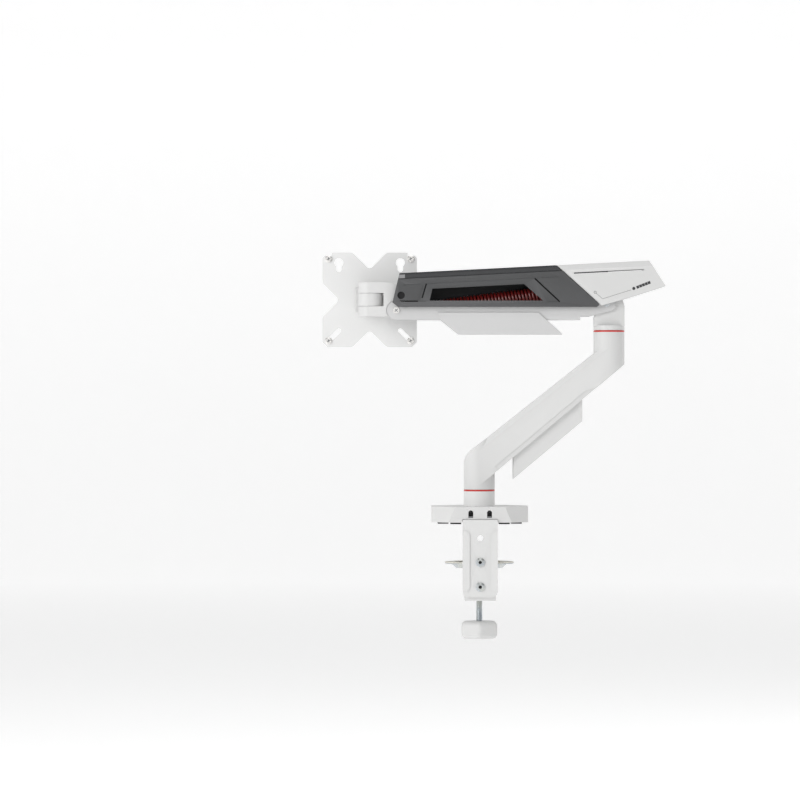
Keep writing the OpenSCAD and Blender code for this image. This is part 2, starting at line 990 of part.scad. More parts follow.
module link_head_bolt()
    color(zinc) {
        y_bar(head_lower, 3.9, -cheek_out - 1, cheek_out + 1);
        translate([head_lower[0], -cheek_out, head_lower[1]])
            rotate([90, 0, 0])
                difference() {
                    cylinder(r = 3.9, h = 1.9);
                    for (turn = [45, 135])
                        rotate([0, 0, turn])
                            translate([-2.4, -0.5, 0.7])
                                cube([4.8, 1, 2]);
                }
        translate([head_lower[0], cheek_out, head_lower[1]])
            rotate([-90, 0, 0])
                cylinder(r = 3.9, h = 1.9);
    }

module link_elbow_pin()
    color(zinc)
        y_bar(elbow_lower, pin_r, -cheek_out, cheek_out);

module spring_pin()
    color(zinc)
        y_bar(spring_rest, 3, -spring_pin_half, spring_pin_half);

// The eye that turns on the pin, with a disc and a plug that hold the end of the coil
module spring_eye()
    color(zinc)
        difference() {
            union() {
                y_bar(spring_rest, 5.2, -4, 4);
                translate([spring_rest[0], 0, spring_rest[1]])
                    rotate([0, 90 - spring_tilt, 0]) {
                        translate([-3.6, -3.4, 0])
                            cube([7.2, 6.8, 7]);
                        translate([0, 0, 6])
                            cylinder(r = 10.4, h = 1.8);
                        translate([0, 0, 7])
                            cylinder(r = plug_r, h = 13);
                    }
            }
            y_bar(spring_rest, 3 + nut_play, -20, 20);
        }

// ---- Head ----

module head_bracket()
    color(white)
        difference() {
            union() {
                translate([pan_x, 0, fork_low])
                    cylinder(r = barrel_r, h = fork_high - fork_low);
                translate([pan_x, -barrel_r, fork_low])
                    cube([-113 - pan_x, 2 * barrel_r, fork_high - fork_low]);
                xz_slab(
                    [
                        [-114, fork_low], [-100.3, fork_low], [-95, 251.6], [-93.2, 256],
                        [-87.2, 271], [-87, 277], [-90, 281.5], [-104, 289.5], [-114, fork_high]
                    ],
                    -lug_half, lug_half
                );
                xz_slab(
                    [
                        [-114, fork_low], [-107.5, fork_low], [-104.5, 262], [-104.5, 268.5],
                        [-98, 276], [-98, 286], [-104, 289.5], [-114, fork_high]
                    ],
                    -barrel_r, barrel_r
                );
            }
            for (side = [-1, 1])
                on_side(side)
                    y_bar(head_lower, link_pocket_r, lug_half, barrel_r + 1);
            translate([pan_x - 20, -20, slot_low])
                cube([slot_end - pan_x + 20, 40, slot_high - slot_low]);
            translate([pan_x, 0, 240])
                cylinder(r = 5, h = 60);
            y_bar(head_upper, pin_r + running, -20, 20);
            y_bar(head_lower, 3.9 + 0.1, -20, 20);
        }

module pan_pin()
    color(zinc)
        translate([pan_x, 0, fork_low + 0.4])
            difference() {
                cylinder(r = 5, h = fork_high - fork_low - 0.8);
                translate([0, 0, fork_high - fork_low - 4])
                    cylinder(r = 2.6, h = 10, $fn = 6);
            }

module pan_knuckle()
    color(white)
        difference() {
            union() {
                translate([pan_x, 0, slot_low + 0.3])
                    cylinder(r = barrel_r, h = slot_high - slot_low - 0.6);
                translate([pan_x + knuckle_bulge, 0, slot_low + 0.3])
                    cylinder(r = barrel_r, h = slot_high - slot_low - 0.6);
                translate([pan_x - tongue_half, 0, slot_low + 0.3])
                    cube([2 * tongue_half, tilt_y, slot_high - slot_low - 0.6]);
                x_rod([tilt_y, head_z], 8.8, pan_x - tongue_half, pan_x + tongue_half);
            }
            translate([pan_x, 0, 240])
                cylinder(r = 5 + running, h = 60);
            x_rod([tilt_y, head_z], pin_r + running, pan_x - 20, pan_x + 20);
        }

// A U-shaped bracket: two cheeks round the tilt bolt and a wall for the rotating hub
module tilt_bracket()
    color(white)
        difference() {
            union() {
                x_rod([tilt_y, head_z], tilt_r, pan_x - tilt_half, pan_x + tilt_half);
                translate([pan_x - tilt_half, tilt_y, head_z - tilt_r])
                    cube([2 * tilt_half, wall_out - tilt_y, 2 * tilt_r]);
            }
            translate([pan_x - tongue_half - 0.3, 0, head_z - 20])
                cube([2 * tongue_half + 0.6, wall_in, 40]);
            x_rod([tilt_y, head_z], pin_r, pan_x - 20, pan_x + 20);
            x_rod([tilt_y, head_z], 6.8, pan_x - tilt_half - 1, pan_x - tilt_half + 4);
            x_rod([tilt_y, head_z], 7, pan_x + tilt_half - 4, pan_x + tilt_half + 1);
            y_bar([pan_x, head_z], hub_r + running, 30, 60);
        }

module tilt_bolt()
    color(zinc) {
        x_rod([tilt_y, head_z], pin_r, pan_x - tilt_half + 1, pan_x + tilt_half - 0.4);
        translate([pan_x - tilt_half + 4, tilt_y, head_z])
            rotate([0, -90, 0])
                button_head(6.4, 3.6, 2.6);
    }

module tilt_nut()
    color(zinc)
        translate([pan_x + tilt_half - 4, tilt_y, head_z])
            rotate([0, 90, 0])
                hex_nut(12, 3.4, pin_r + nut_play);

module rotation_disc()
    color(polymer)
        difference() {
            y_bar([pan_x, head_z], 16, wall_out, wall_out + disc_t);
            y_bar([pan_x, head_z], hub_r + running, wall_out - 1, wall_out + disc_t + 1);
        }

function arc(centre, r, from, to, steps) = [
    for (i = [0:steps])
        let (a = from + (to - from) * i / steps)
        centre + r * [cos(a), sin(a)]
];
function turned(points, a) = [
    for (p = points) [p[0] * cos(a) - p[1] * sin(a), p[0] * sin(a) + p[1] * cos(a)]
];
function flipped(points) = [
    for (i = [len(points) - 1:-1:0]) [-points[i][0], points[i][1]]
];

// One right-angled V notch in the upper edge, with a round tip and round shoulders
function notch_points() =
    let (shoulder = notch_depth + notch_shoulder_r * (sqrt(2) - 1))
    let (edge = vesa_size / 2)
    concat(
        arc([-shoulder, edge - notch_shoulder_r], notch_shoulder_r, 90, 45, 4),
        arc([0, edge - notch_depth + notch_tip_r * sqrt(2)], notch_tip_r, 225, 315, 8),
        arc([shoulder, edge - notch_shoulder_r], notch_shoulder_r, 135, 90, 4)
    );

// The upper right corner: a screw notch open at the top, then a lower tab with its corner cut off
function upper_corner() =
    let (edge = vesa_size / 2)
    let (big = vesa_pitch / 2)
    concat(
        [[big - 3.5, edge]],
        arc([big, big], 3.5, 180, 360, 12),
        [[big + 3.5, edge - 3.2], [edge - 3.2, edge - 3.2], [edge, edge - 6.4]]
    );

function lower_corner() =
    let (edge = vesa_size / 2)
    [[edge, 6 - edge], [edge - 6, -edge]];

vesa_outline = concat(
    notch_points(), upper_corner(),
    turned(notch_points(), -90), lower_corner(),
    turned(notch_points(), 180), flipped(lower_corner()),
    turned(notch_points(), 90), flipped(upper_corner())
);

// A slot that runs from p to q, with round ends
function slot_points(p, q, r) =
    let (a = atan2(q[1] - p[1], q[0] - p[0]))
    concat(arc(p, r, a + 90, a + 270, 12), arc(q, r, a - 90, a + 90, 12));

// A keyhole whose neck ends round the spot and whose round part is higher up
function keyhole_points(spot, neck_r, head_r, rise) =
    let (a = asin(neck_r / head_r) - 90)
    concat(arc(spot, neck_r, 180, 360, 12), arc(spot + [0, rise], head_r, a, 180 - a, 24));

module vesa_plate() {
    big = vesa_pitch / 2;
    small = vesa_small / 2;
    color(white)
        translate([pan_x, vesa_front, head_z])
            rotate([90, 0, 0])
                difference() {
                    linear_extrude(vesa_t)
                        polygon(vesa_outline);
                    for (flip = [0, 1])
                        mirror([flip, 0, 0])
                            translate([0, 0, -1])
                                linear_extrude(vesa_t + 2) {
                                    polygon(slot_points([small, -small], [big, -big], 2.75));
                                    polygon(keyhole_points([small, small], 3.25, 5.45, 8));
                                }
                    translate([0, 0, -1])
                        cylinder(r = hub_r, h = vesa_t + 2);
                }
}

// The shaft that the plate turns on, riveted flush with the plate's front
module vesa_hub()
    color(zinc)
        y_bar([pan_x, head_z], hub_r, wall_in - 4.4, vesa_front);

module hub_nut()
    color(zinc)
        translate([pan_x, wall_in - 0.4, head_z])
            rotate([90, 0, 0])
                difference() {
                    cylinder(r = 8.6, h = 3.6);
                    translate([0, 0, -1])
                        cylinder(r = hub_r + nut_play, h = 6);
                }

// Four screws with cross-recessed pan heads, their threads standing out of the plate
module vesa_screws()
    color(zinc)
        for (sx = [-1, 1])
            for (sz = [-1, 1])
                translate([pan_x + sx * vesa_pitch / 2, vesa_back, head_z + sz * vesa_pitch / 2]) {
                    rotate([-90, 0, 0])
                        cylinder(r = 1.5, h = vesa_t + 1);
                    translate([0, vesa_t, 0])
                        rotate([-90, 0, 0])
                            cylinder(r = 2, h = stud_length);
                    rotate([90, 0, 0])
                        difference() {
                            union() {
                                cylinder(r = 4.35, h = 1.3);
                                translate([0, 0, 1.3])
                                    cylinder(r1 = 4.35, r2 = 2.9, h = 1.3);
                            }
                            for (turn = [20, 110])
                                rotate([0, 0, turn])
                                    translate([-2.2, -0.45, 1.1])
                                        cube([4.4, 0.9, 3]);
                        }
                }

base_housing();
base_plate();
base_pads();
base_post();
base_spindle();
post_bolts();
housing_screws();
base_ring();
clamp_back_plate();
tongue_bolts();
tongue_nuts();
clamp_jaw();
jaw_bolts();
jaw_nuts();
pressure_plate();
pressure_pad();
clamp_screw();
clamp_knob();
screw_clip();
base_bush();
lower_arm_casting();
lower_cable_cover();
elbow_bush();
elbow_ring();
elbow_spindle();
elbow_knuckle();
upper_arm_frame();
side_cover_back();
side_cover_front();
top_strip();
tail_cover_back();
tail_cover_front();
head_pivot_pin();
elbow_pivot_pin();
lift_spring();
tension_block();
tension_screw();
lower_link();
link_cable_cover();
link_head_bolt();
link_elbow_pin();
spring_pin();
spring_eye();
head_bracket();
pan_pin();
pan_knuckle();
tilt_bracket();
tilt_bolt();
tilt_nut();
rotation_disc();
vesa_plate();
vesa_hub();
hub_nut();
vesa_screws();
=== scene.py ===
"""Looks for a desk-clamped monitor arm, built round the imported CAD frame. Metres, +Z up."""

import math

import bpy
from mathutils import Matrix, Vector
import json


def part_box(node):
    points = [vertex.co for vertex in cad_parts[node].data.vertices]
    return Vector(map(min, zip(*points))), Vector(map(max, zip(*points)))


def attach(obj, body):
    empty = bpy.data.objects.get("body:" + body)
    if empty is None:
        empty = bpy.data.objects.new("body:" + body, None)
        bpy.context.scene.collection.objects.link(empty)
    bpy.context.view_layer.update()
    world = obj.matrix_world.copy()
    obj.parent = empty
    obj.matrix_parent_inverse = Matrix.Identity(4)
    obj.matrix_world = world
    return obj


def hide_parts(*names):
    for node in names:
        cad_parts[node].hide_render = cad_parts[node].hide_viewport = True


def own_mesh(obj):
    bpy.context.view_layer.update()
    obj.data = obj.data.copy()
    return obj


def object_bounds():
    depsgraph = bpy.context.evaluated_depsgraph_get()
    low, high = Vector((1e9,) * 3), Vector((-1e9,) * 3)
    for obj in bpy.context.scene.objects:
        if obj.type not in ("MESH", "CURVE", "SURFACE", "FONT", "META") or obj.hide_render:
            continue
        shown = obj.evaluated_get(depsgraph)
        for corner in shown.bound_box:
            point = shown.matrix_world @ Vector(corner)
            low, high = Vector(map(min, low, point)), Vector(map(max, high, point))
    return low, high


MM = 0.001
TAU = 2 * math.pi

# Camera and studio
CAMERA_SPOT = (-0.0958, -5.0, 0.1486)
CAMERA_LENS = 186.2
CAMERA_SENSOR = 36
CAMERA_REACH = 50
FLOOR_GAP = 0.26
STUDIO_R = 9.0
WALL_HIGH = 4.0
SWEEP_R = 1.5
SWEEP_STEPS = 12
STUDIO_SIDES = 72
FLOOR_GLOW = 0.3
WORLD_STRENGTH = 0.46
LIGHT_AIM = Vector((0, 0, 0.12))
# Name, place, side in metres and power in watts
LIGHTS = [
    ("key", (-2.2, -2.2, 1.3), 1.6, 42),
    ("top", (0.1, 0.1, 2.4), 2.2, 14),
    ("rim", (1.8, 1.4, 1.2), 1.2, 8),
]

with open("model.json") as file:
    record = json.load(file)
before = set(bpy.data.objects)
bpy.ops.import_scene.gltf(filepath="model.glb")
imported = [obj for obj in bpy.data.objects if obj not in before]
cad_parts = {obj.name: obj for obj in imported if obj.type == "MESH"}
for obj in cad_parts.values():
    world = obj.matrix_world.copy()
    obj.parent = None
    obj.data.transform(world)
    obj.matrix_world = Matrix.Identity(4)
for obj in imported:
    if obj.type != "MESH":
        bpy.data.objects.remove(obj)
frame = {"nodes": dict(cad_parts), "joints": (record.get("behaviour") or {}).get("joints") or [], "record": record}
cad_low, cad_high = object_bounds()
nodes = frame["nodes"]
record = frame["record"]
joints = {joint["name"]: joint for joint in frame["joints"]}


# ---- Studio ----


def make_camera():
    data = bpy.data.cameras.new("camera")
    data.lens = CAMERA_LENS
    data.sensor_width = CAMERA_SENSOR
    data.clip_end = CAMERA_REACH
    camera = bpy.data.objects.new("camera", data)
    camera.location = CAMERA_SPOT
    camera.rotation_euler = (math.pi / 2, 0, 0)
    bpy.context.scene.collection.objects.link(camera)
    bpy.context.scene.camera = camera


def make_light(name, spot, size, power):
    data = bpy.data.lights.new(name, "AREA")
    data.shape = "RECTANGLE"
    data.size = size
    data.size_y = size
    data.energy = power
    light = bpy.data.objects.new(name, data)
    light.location = spot
    direction = LIGHT_AIM - Vector(spot)
    light.rotation_euler = direction.to_track_quat("-Z", "Y").to_euler()
    bpy.context.scene.collection.objects.link(light)


def make_world():
    world = bpy.data.worlds.new("studio")
    world.use_nodes = True
    background = world.node_tree.nodes["Background"]
    background.inputs["Color"].default_value = (1, 1, 1, 1)
    background.inputs["Strength"].default_value = WORLD_STRENGTH
    bpy.context.scene.world = world


def make_floor(material):
    """A round pale floor that sweeps up into a wall all round the object, far outside the camera."""
    low = cad_low.z - FLOOR_GAP
    line = []
    for i in range(SWEEP_STEPS + 1):
        angle = math.pi / 2 * i / SWEEP_STEPS
        r = STUDIO_R - SWEEP_R + SWEEP_R * math.sin(angle)
        line.append((r, low + SWEEP_R * (1 - math.cos(angle))))
    line.append((STUDIO_R, low + WALL_HIGH))
    verts = [
        (r * math.cos(TAU * j / STUDIO_SIDES), r * math.sin(TAU * j / STUDIO_SIDES), z)
        for r, z in line
        for j in range(STUDIO_SIDES)
    ]
    faces = [tuple(range(STUDIO_SIDES))]
    for i in range(len(line) - 1):
        for j in range(STUDIO_SIDES):
            a = i * STUDIO_SIDES + j
            b = i * STUDIO_SIDES + (j + 1) % STUDIO_SIDES
            faces.append((a, a + STUDIO_SIDES, b + STUDIO_SIDES, b))
    floor = new_object("floor", verts, faces, material)


# ---- Meshes ----


def new_object(name, verts, faces, material, smooth=True):
    mesh = bpy.data.meshes.new(name)
    mesh.from_pydata([tuple(v) for v in verts], [], faces)
    mesh.update()
    mesh.polygons.foreach_set("use_smooth", [smooth] * len(mesh.polygons))
    mesh.materials.append(material)
    made = bpy.data.objects.new(name, mesh)
    bpy.context.scene.collection.objects.link(made)
    return made


def grid_faces(rows, sides):
    """Quads between closed rings, with a cap at both ends."""
    faces = []
    for i in range(rows - 1):
        for j in range(sides):
            k = (j + 1) % sides
            a = i * sides
            b = a + sides
            faces.append((a + j, a + k, b + k, b + j))
    faces.append(tuple(reversed(range(sides))))
    last = (rows - 1) * sides
    faces.append(tuple(last + j for j in range(sides)))
    return faces


def spring_mesh(start, end, coil_r, wire_r, pitch, around=30, sides=12):
    """A closed-end coil swept along the line from start to end."""
    axis = (end - start).normalized()
    side = Vector((0, 1, 0))
    up = axis.cross(side) * -1
    length = (end - start).length
    turns = length / pitch
    steps = round(turns * around)
    slope = pitch / TAU / coil_r
    verts = []
    for i in range(steps + 1):
        angle = TAU * turns * i / steps
        out = side * math.sin(angle) + up * math.cos(angle)
        ahead = side * math.cos(angle) - up * math.sin(angle)
        tangent = (ahead + axis * slope).normalized()
        across = tangent.cross(out)
        centre = start + axis * (length * i / steps) + out * coil_r
        for j in range(sides):
            a = TAU * j / sides
            verts.append(centre + out * (wire_r * math.cos(a)) + across * (wire_r * math.sin(a)))
    return verts, grid_faces(steps + 1, sides)


# Shares of one turn that the thread's crest and each of its flanks take
THREAD_CREST = 0.15
THREAD_FLANK = 0.35


def thread_share(phase):
    """How deep the thread is at this share of a turn: 0 on the crest and 1 in the root."""
    phase = phase % 1.0
    if phase < THREAD_CREST:
        return 0.0
    if phase < THREAD_CREST + THREAD_FLANK:
        return (phase - THREAD_CREST) / THREAD_FLANK
    if phase < 1 - THREAD_FLANK:
        return 1.0
    return (1.0 - phase) / THREAD_FLANK


def threaded_rows(low, high, r, pitch, depth, rows_per_turn=8, sides=32):
    """Rings of a rod on the Z axis whose surface follows one thread, as (z, [radius, ...])."""
    count = round((high - low) / pitch * rows_per_turn)
    rows = []
    for i in range(count + 1):
        z = low + (high - low) * i / count
        fade = min(1.0, (z - low) / pitch, (high - z) / pitch)
        ring = []
        for j in range(sides):
            share = thread_share((z - low) / pitch - j / sides)
            ring.append(r - depth * (1 - fade) - depth * share * fade)
        rows.append((z, ring))
    return rows


def rod_mesh(rows):
    """A rod on the Z axis through the given rings."""
    sides = len(rows[0][1])
    verts = []
    for z, ring in rows:
        for j, r in enumerate(ring):
            a = TAU * j / sides
            verts.append(Vector((r * math.cos(a), r * math.sin(a), z)))
    return verts, grid_faces(len(rows), sides)


def prism(outline, y_low, y_high, first=0):
    """A flat piece with an outline in X and Z."""
    count = len(outline)
    verts = [Vector((x, y_low, z)) for x, z in outline]
    verts += [Vector((x, y_high, z)) for x, z in outline]
    faces = [tuple(first + i for i in range(count))]
    faces.append(tuple(first + count + i for i in reversed(range(count))))
    for i in range(count):
        k = (i + 1) % count
        faces.append((first + i, first + count + i, first + count + k, first + k))
    return verts, faces


def bar_outline(p, q, width):
    p = Vector(p)
    q = Vector(q)
    along = (q - p).normalized()
    side = Vector((-along.y, along.x)) * width / 2
    return [tuple(p - side), tuple(q - side), tuple(q + side), tuple(p + side)]


def round_outline(centre, r, count=24):
    return [
        (centre[0] + r * math.cos(TAU * i / count), centre[1] + r * math.sin(TAU * i / count))
        for i in range(count)
    ]


# ---- Materials ----

FLECK_MOST = 0.35
FLECK_TONE = 0.94
EDGE_FROM = 0.52
EDGE_FULL = 0.6


def add_node(tree, kind, **values):
    made = tree.nodes.new(kind)
    for name, value in values.items():
        setattr(made, name, value)
    return made


def noise(tree, vector, scale, detail=2.0, rough=0.5):
    made = add_node(tree, "ShaderNodeTexNoise")
    made.inputs["Scale"].default_value = scale
    made.inputs["Detail"].default_value = detail
    made.inputs["Roughness"].default_value = rough
    tree.links.new(vector, made.inputs["Vector"])
    return made.outputs["Fac"]


def stretched(tree, vector, stretch):
    mapping = add_node(tree, "ShaderNodeMapping")
    mapping.inputs["Scale"].default_value = stretch
    tree.links.new(vector, mapping.inputs["Vector"])
    return mapping.outputs["Vector"]


def spread(tree, value, low, high, from_low=0.3, from_high=0.7):
    made = add_node(tree, "ShaderNodeMapRange")
    made.inputs["From Min"].default_value = from_low
    made.inputs["From Max"].default_value = from_high
    made.inputs["To Min"].default_value = low
    made.inputs["To Max"].default_value = high
    tree.links.new(value, made.inputs["Value"])
    return made.outputs["Result"]


def mixed(tree, share, a, b):
    """A mix of two colours, each a colour value or another node's output."""
    made = add_node(tree, "ShaderNodeMix", data_type="RGBA")
    tree.links.new(share, made.inputs["Factor"])
    for socket, value in ((made.inputs["A"], a), (made.inputs["B"], b)):
        if isinstance(value, bpy.types.NodeSocket):
            tree.links.new(value, socket)
        else:
            socket.default_value = (*value, 1)
    return made.outputs["Result"]


def scaled(colour, by):
    return tuple(min(1.0, c * by) for c in colour)


def edge_share(tree, low, high):
    """Where the surface turns outward sharply: 0 on flats and 1 on the sharpest edges."""
    geometry = add_node(tree, "ShaderNodeNewGeometry")
    return spread(tree, geometry.outputs["Pointiness"], 0, 1, low, high)


def surface(
    name,
    base,
    rough,
    metallic=0.0,
    mottle=0.03,
    mottle_scale=14,
    grain_scale=900,
    grain_bump=0.06,
    grain_depth=0.00008,
    rough_swing=0.06,
    edge=1.05,
    stretch=(1, 1, 1),
    coat=0.0,
    second=None,
    specular=0.5,
):
    """Slow colour drift, a fine grain in height and roughness, and edges of their own tone."""
    material = bpy.data.materials.new(name)
    material.use_nodes = True
    tree = material.node_tree
    shader = tree.nodes["Principled BSDF"]
    vector = add_node(tree, "ShaderNodeTexCoord").outputs["Object"]
    drawn = stretched(tree, vector, stretch)
    slow = noise(tree, vector, mottle_scale, 3)
    grain = noise(tree, drawn, grain_scale, 3, 0.6)
    darker = scaled(base, 1 - mottle)
    lighter = second if second else scaled(base, 1 + mottle)
    flat = mixed(tree, spread(tree, slow, 0, 1), darker, lighter)
    fleck = mixed(tree, spread(tree, grain, 0, FLECK_MOST), flat, scaled(base, FLECK_TONE))
    edge_toned = mixed(tree, edge_share(tree, EDGE_FROM, EDGE_FULL), fleck, scaled(base, edge))
    tree.links.new(edge_toned, shader.inputs["Base Color"])
    uneven = spread(tree, grain, rough - rough_swing, rough + rough_swing)
    tree.links.new(uneven, shader.inputs["Roughness"])
    shader.inputs["Metallic"].default_value = metallic
    shader.inputs["Specular IOR Level"].default_value = specular
    shader.inputs["Coat Weight"].default_value = coat
    bump = add_node(tree, "ShaderNodeBump")
    bump.inputs["Strength"].default_value = grain_bump
    bump.inputs["Distance"].default_value = grain_depth
    tree.links.new(grain, bump.inputs["Height"])
    tree.links.new(bump.outputs["Normal"], shader.inputs["Normal"])
    return material


def floor_material():
    material = surface(
        "studio_floor", (0.93, 0.93, 0.93), 0.8, mottle=0.004, mottle_scale=1.5,
        grain_scale=60, grain_bump=0.02, rough_swing=0.03, edge=1.0, specular=0.1,
    )
    shader = material.node_tree.nodes["Principled BSDF"]
    shader.inputs["Emission Color"].default_value = (1, 1, 1, 1)
    shader.inputs["Emission Strength"].default_value = FLOOR_GLOW
    return material


def make_materials():
    return {
        "white_metal": surface("white_metal", (0.63, 0.63, 0.625), 0.46, mottle=0.012, grain_bump=0.12),
        # Painted light: a lighter copy of white_metal for white parts that sit in shade
        "lit_white_metal": surface("lit_white_metal", (0.74, 0.74, 0.735), 0.46, mottle=0.012, grain_bump=0.12),
        "white_plastic": surface(
            "white_plastic", (0.63, 0.63, 0.625), 0.5, mottle=0.01, grain_scale=1400, grain_bump=0.16,
        ),
        # Painted shade: a darker copy of white_metal, for the link that sits under the covers
        "link_metal": surface("link_metal", (0.57, 0.57, 0.57), 0.46, mottle=0.012, grain_bump=0.12),
        "grey_plastic": surface(
            "grey_plastic", (0.07, 0.071, 0.073), 0.5, mottle=0.06, grain_scale=1600, grain_bump=0.25,
            edge=1.5, specular=0.35,
        ),
        # Painted shade: a darker grey for the upward-facing bevels of the side covers
        "grey_bevel_shade": surface(
            "grey_bevel_shade", (0.036, 0.037, 0.039), 0.55, mottle=0.06, grain_scale=1600, grain_bump=0.25,
            edge=1.5, specular=0.25,
        ),
        # The top strip's own dark plastic, made darker still as painted shade on its upward face
        "strip_plastic_shade": surface(
            "strip_plastic_shade", (0.026, 0.027, 0.029), 0.55, mottle=0.06, grain_scale=1600,
            grain_bump=0.25, edge=1.5, specular=0.25,
        ),
        "black_metal": surface(
            "black_metal", (0.009, 0.009, 0.01), 0.5, mottle=0.1, grain_scale=1100, grain_bump=0.15,
            edge=2.0, specular=0.3,
        ),
        "nickel": surface(
            "nickel", (0.78, 0.77, 0.75), 0.28, 0.9, mottle=0.06, mottle_scale=60, grain_scale=600,
            rough_swing=0.08, edge=1.1, stretch=(1, 0.25, 1),
        ),
        "black_plastic": surface(
            "black_plastic", (0.012, 0.012, 0.013), 0.42, mottle=0.1, grain_scale=1500, grain_bump=0.2,
            edge=2.5,
        ),
        "red_plastic": surface("red_plastic", (0.55, 0.03, 0.022), 0.34, mottle=0.05, coat=0.2),
        "red_spring": surface(
            "red_spring", (0.1, 0.007, 0.006), 0.34, mottle=0.15, mottle_scale=60, grain_scale=700,
            grain_bump=0.1, edge=1.3, coat=0.4,
        ),
        "zinc": surface(
            "zinc", (0.5, 0.54, 0.58), 0.3, 1.0, mottle=0.12, mottle_scale=90, grain_scale=600,
            rough_swing=0.1, edge=1.15, stretch=(1, 1, 0.25), second=(0.62, 0.62, 0.56),
        ),
        "steel": surface(
            "steel", (0.28, 0.29, 0.3), 0.42, 0.9, mottle=0.1, mottle_scale=40, grain_scale=500,
            rough_swing=0.1, edge=1.3, stretch=(0.2, 1, 1),
        ),
        "polymer": surface("polymer", (0.72, 0.7, 0.62), 0.45, mottle=0.02),
        "rubber": surface(
            "rubber", (0.022, 0.022, 0.022), 0.8, mottle=0.15, mottle_scale=60, grain_scale=1200,
            grain_bump=0.4, edge=1.5, specular=0.3,
        ),
    }


# ---- CAD nodes ----

# Rounding of the nodes' edges in millimetres
EDGE_R = {
    "lower_arm_casting": 0.9,
    "base_housing": 0.8,
    "base_pads": 0.6,
    "elbow_knuckle": 0.5,
    "head_bracket": 0.7,
    "pan_knuckle": 0.6,
    "tilt_bracket": 0.7,
    "vesa_plate": 0.4,
    "clamp_jaw": 0.5,
    "lower_link": 0.4,
    "link_cable_cover": 0.5,
    "lower_cable_cover": 0.5,
    "tail_cover_back": 0.35,
    "tail_cover_front": 0.35,
    "side_cover_back": 0.25,
    "side_cover_front": 0.25,
    "top_strip": 0.4,
    "clamp_knob": 0.0,
}
DEFAULT_EDGE_R = 0.25
EDGE_STEPS = 2
SPLIT_EDGES = ("clamp_back_plate",)
SHARP_ANGLE = math.radians(32)
WELD_GAP = 0.002 * MM


def clear_normals(node):
    """Takes the imported shading normals off, so that the modifiers set them."""
    for name in ("custom_normal", "sharp_edge", "sharp_face"):
        found = node.data.attributes.get(name)
        if found:
            node.data.attributes.remove(found)


def finish_node(node, material, edge_mm):
    """Gives a CAD node its material and small rounded edges, by modifiers only."""
    node.data.materials.clear()
    node.data.materials.append(material)
    clear_normals(node)
    node.data.polygons.foreach_set("use_smooth", [True] * len(node.data.polygons))
    weld = node.modifiers.new("weld", "WELD")
    weld.merge_threshold = WELD_GAP
    if node.name in SPLIT_EDGES:
        split = node.modifiers.new("split", "EDGE_SPLIT")
        split.split_angle = SHARP_ANGLE
    elif edge_mm > 0:
        bevel = node.modifiers.new("bevel", "BEVEL")
        bevel.width = edge_mm * MM
        bevel.segments = EDGE_STEPS
        bevel.limit_method = "ANGLE"
        bevel.angle_limit = SHARP_ANGLE
        bevel.harden_normals = True
        bevel.use_clamp_overlap = True
    else:
        normals = node.modifiers.new("normals", "WEIGHTED_NORMAL")
        normals.keep_sharp = False


def finish_nodes(materials):
    slots = {row["node"]: row["material_slot"] for row in record["subparts"]}
    for name, node in nodes.items():
        finish_node(node, materials[slots[name]], EDGE_R.get(name, DEFAULT_EDGE_R))


BEVEL_TURN = 0.25
CAP_LONG = 15 * MM
CAP_COLOUR = (0.28, 0.28, 0.285)
RECESS_LIP = 0.2 * MM
JAW_RECESS_R = 2.4 * MM
JAW_RECESS_DEPTH = 2.6 * MM
CROSS_R = 2.6 * MM
CROSS_DEPTH = 1.7 * MM
VESA_HALF = 50 * MM


def add_cap(material):
    """Paints a lighter strip on the last few millimetres of the covers' bevels, at the head end."""
    tree = material.node_tree
    shader = tree.nodes["Principled BSDF"]
    colour = shader.inputs["Base Color"].links[0].from_socket
    place = add_node(tree, "ShaderNodeSeparateXYZ")
    tree.links.new(add_node(tree, "ShaderNodeTexCoord").outputs["Object"], place.inputs["Vector"])
    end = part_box("side_cover_back")[0].x + CAP_LONG
    share = spread(tree, place.outputs["X"], 1, 0, end, end + 0.2 * MM)
    tree.links.new(mixed(tree, share, colour, CAP_COLOUR), shader.inputs["Base Color"])


def paint_bevel_shade(material):
    """Gives the slanting upper faces of the side covers a darker grey, as painted shade."""
    for name in ("side_cover_back", "side_cover_front"):
        mesh = nodes[name].data
        mesh.materials.append(material)
        for face in mesh.polygons:
            if face.normal.z > BEVEL_TURN:
                face.material_index = 1


def paint_shade_in_recess(name, spots, reach, depth, material):
    """Paints shade into the drive recesses in the heads that face -Y, as a darker metal round each (x, z) in
    spots.
    """
    mesh = nodes[name].data
    mesh.materials.append(material)
    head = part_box(name)[0].y
    for face in mesh.polygons:
        x, y, z = face.center
        if not head + RECESS_LIP < y < head + depth:
            continue
        if any(math.hypot(x - spot[0], z - spot[1]) < reach for spot in spots):
            face.material_index = 1


def paint_shade_in_recesses(materials):
    # Painted shade: black metal in the jaw bolts' recesses, darker steel in the recesses of the link bolt and VESA
    # screws
    low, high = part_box("jaw_bolts")
    head_r = (high.x - low.x) / 2
    spots = [(0, low.z + head_r), (0, high.z - head_r)]
    paint_shade_in_recess("jaw_bolts", spots, JAW_RECESS_R, JAW_RECESS_DEPTH, materials["black_metal"])
    low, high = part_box("link_head_bolt")
    centre = (low + high) / 2
    paint_shade_in_recess("link_head_bolt", [(centre.x, centre.z)], CROSS_R, CROSS_DEPTH, materials["steel"])
    low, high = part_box("vesa_screws")
    centre = (low + high) / 2
    spots = [(centre.x + i * VESA_HALF, centre.z + j * VESA_HALF) for i in (-1, 1) for j in (-1, 1)]
    paint_shade_in_recess("vesa_screws", spots, CROSS_R, CROSS_DEPTH, materials["steel"])


# ---- Pieces that stand for a simpler CAD node ----

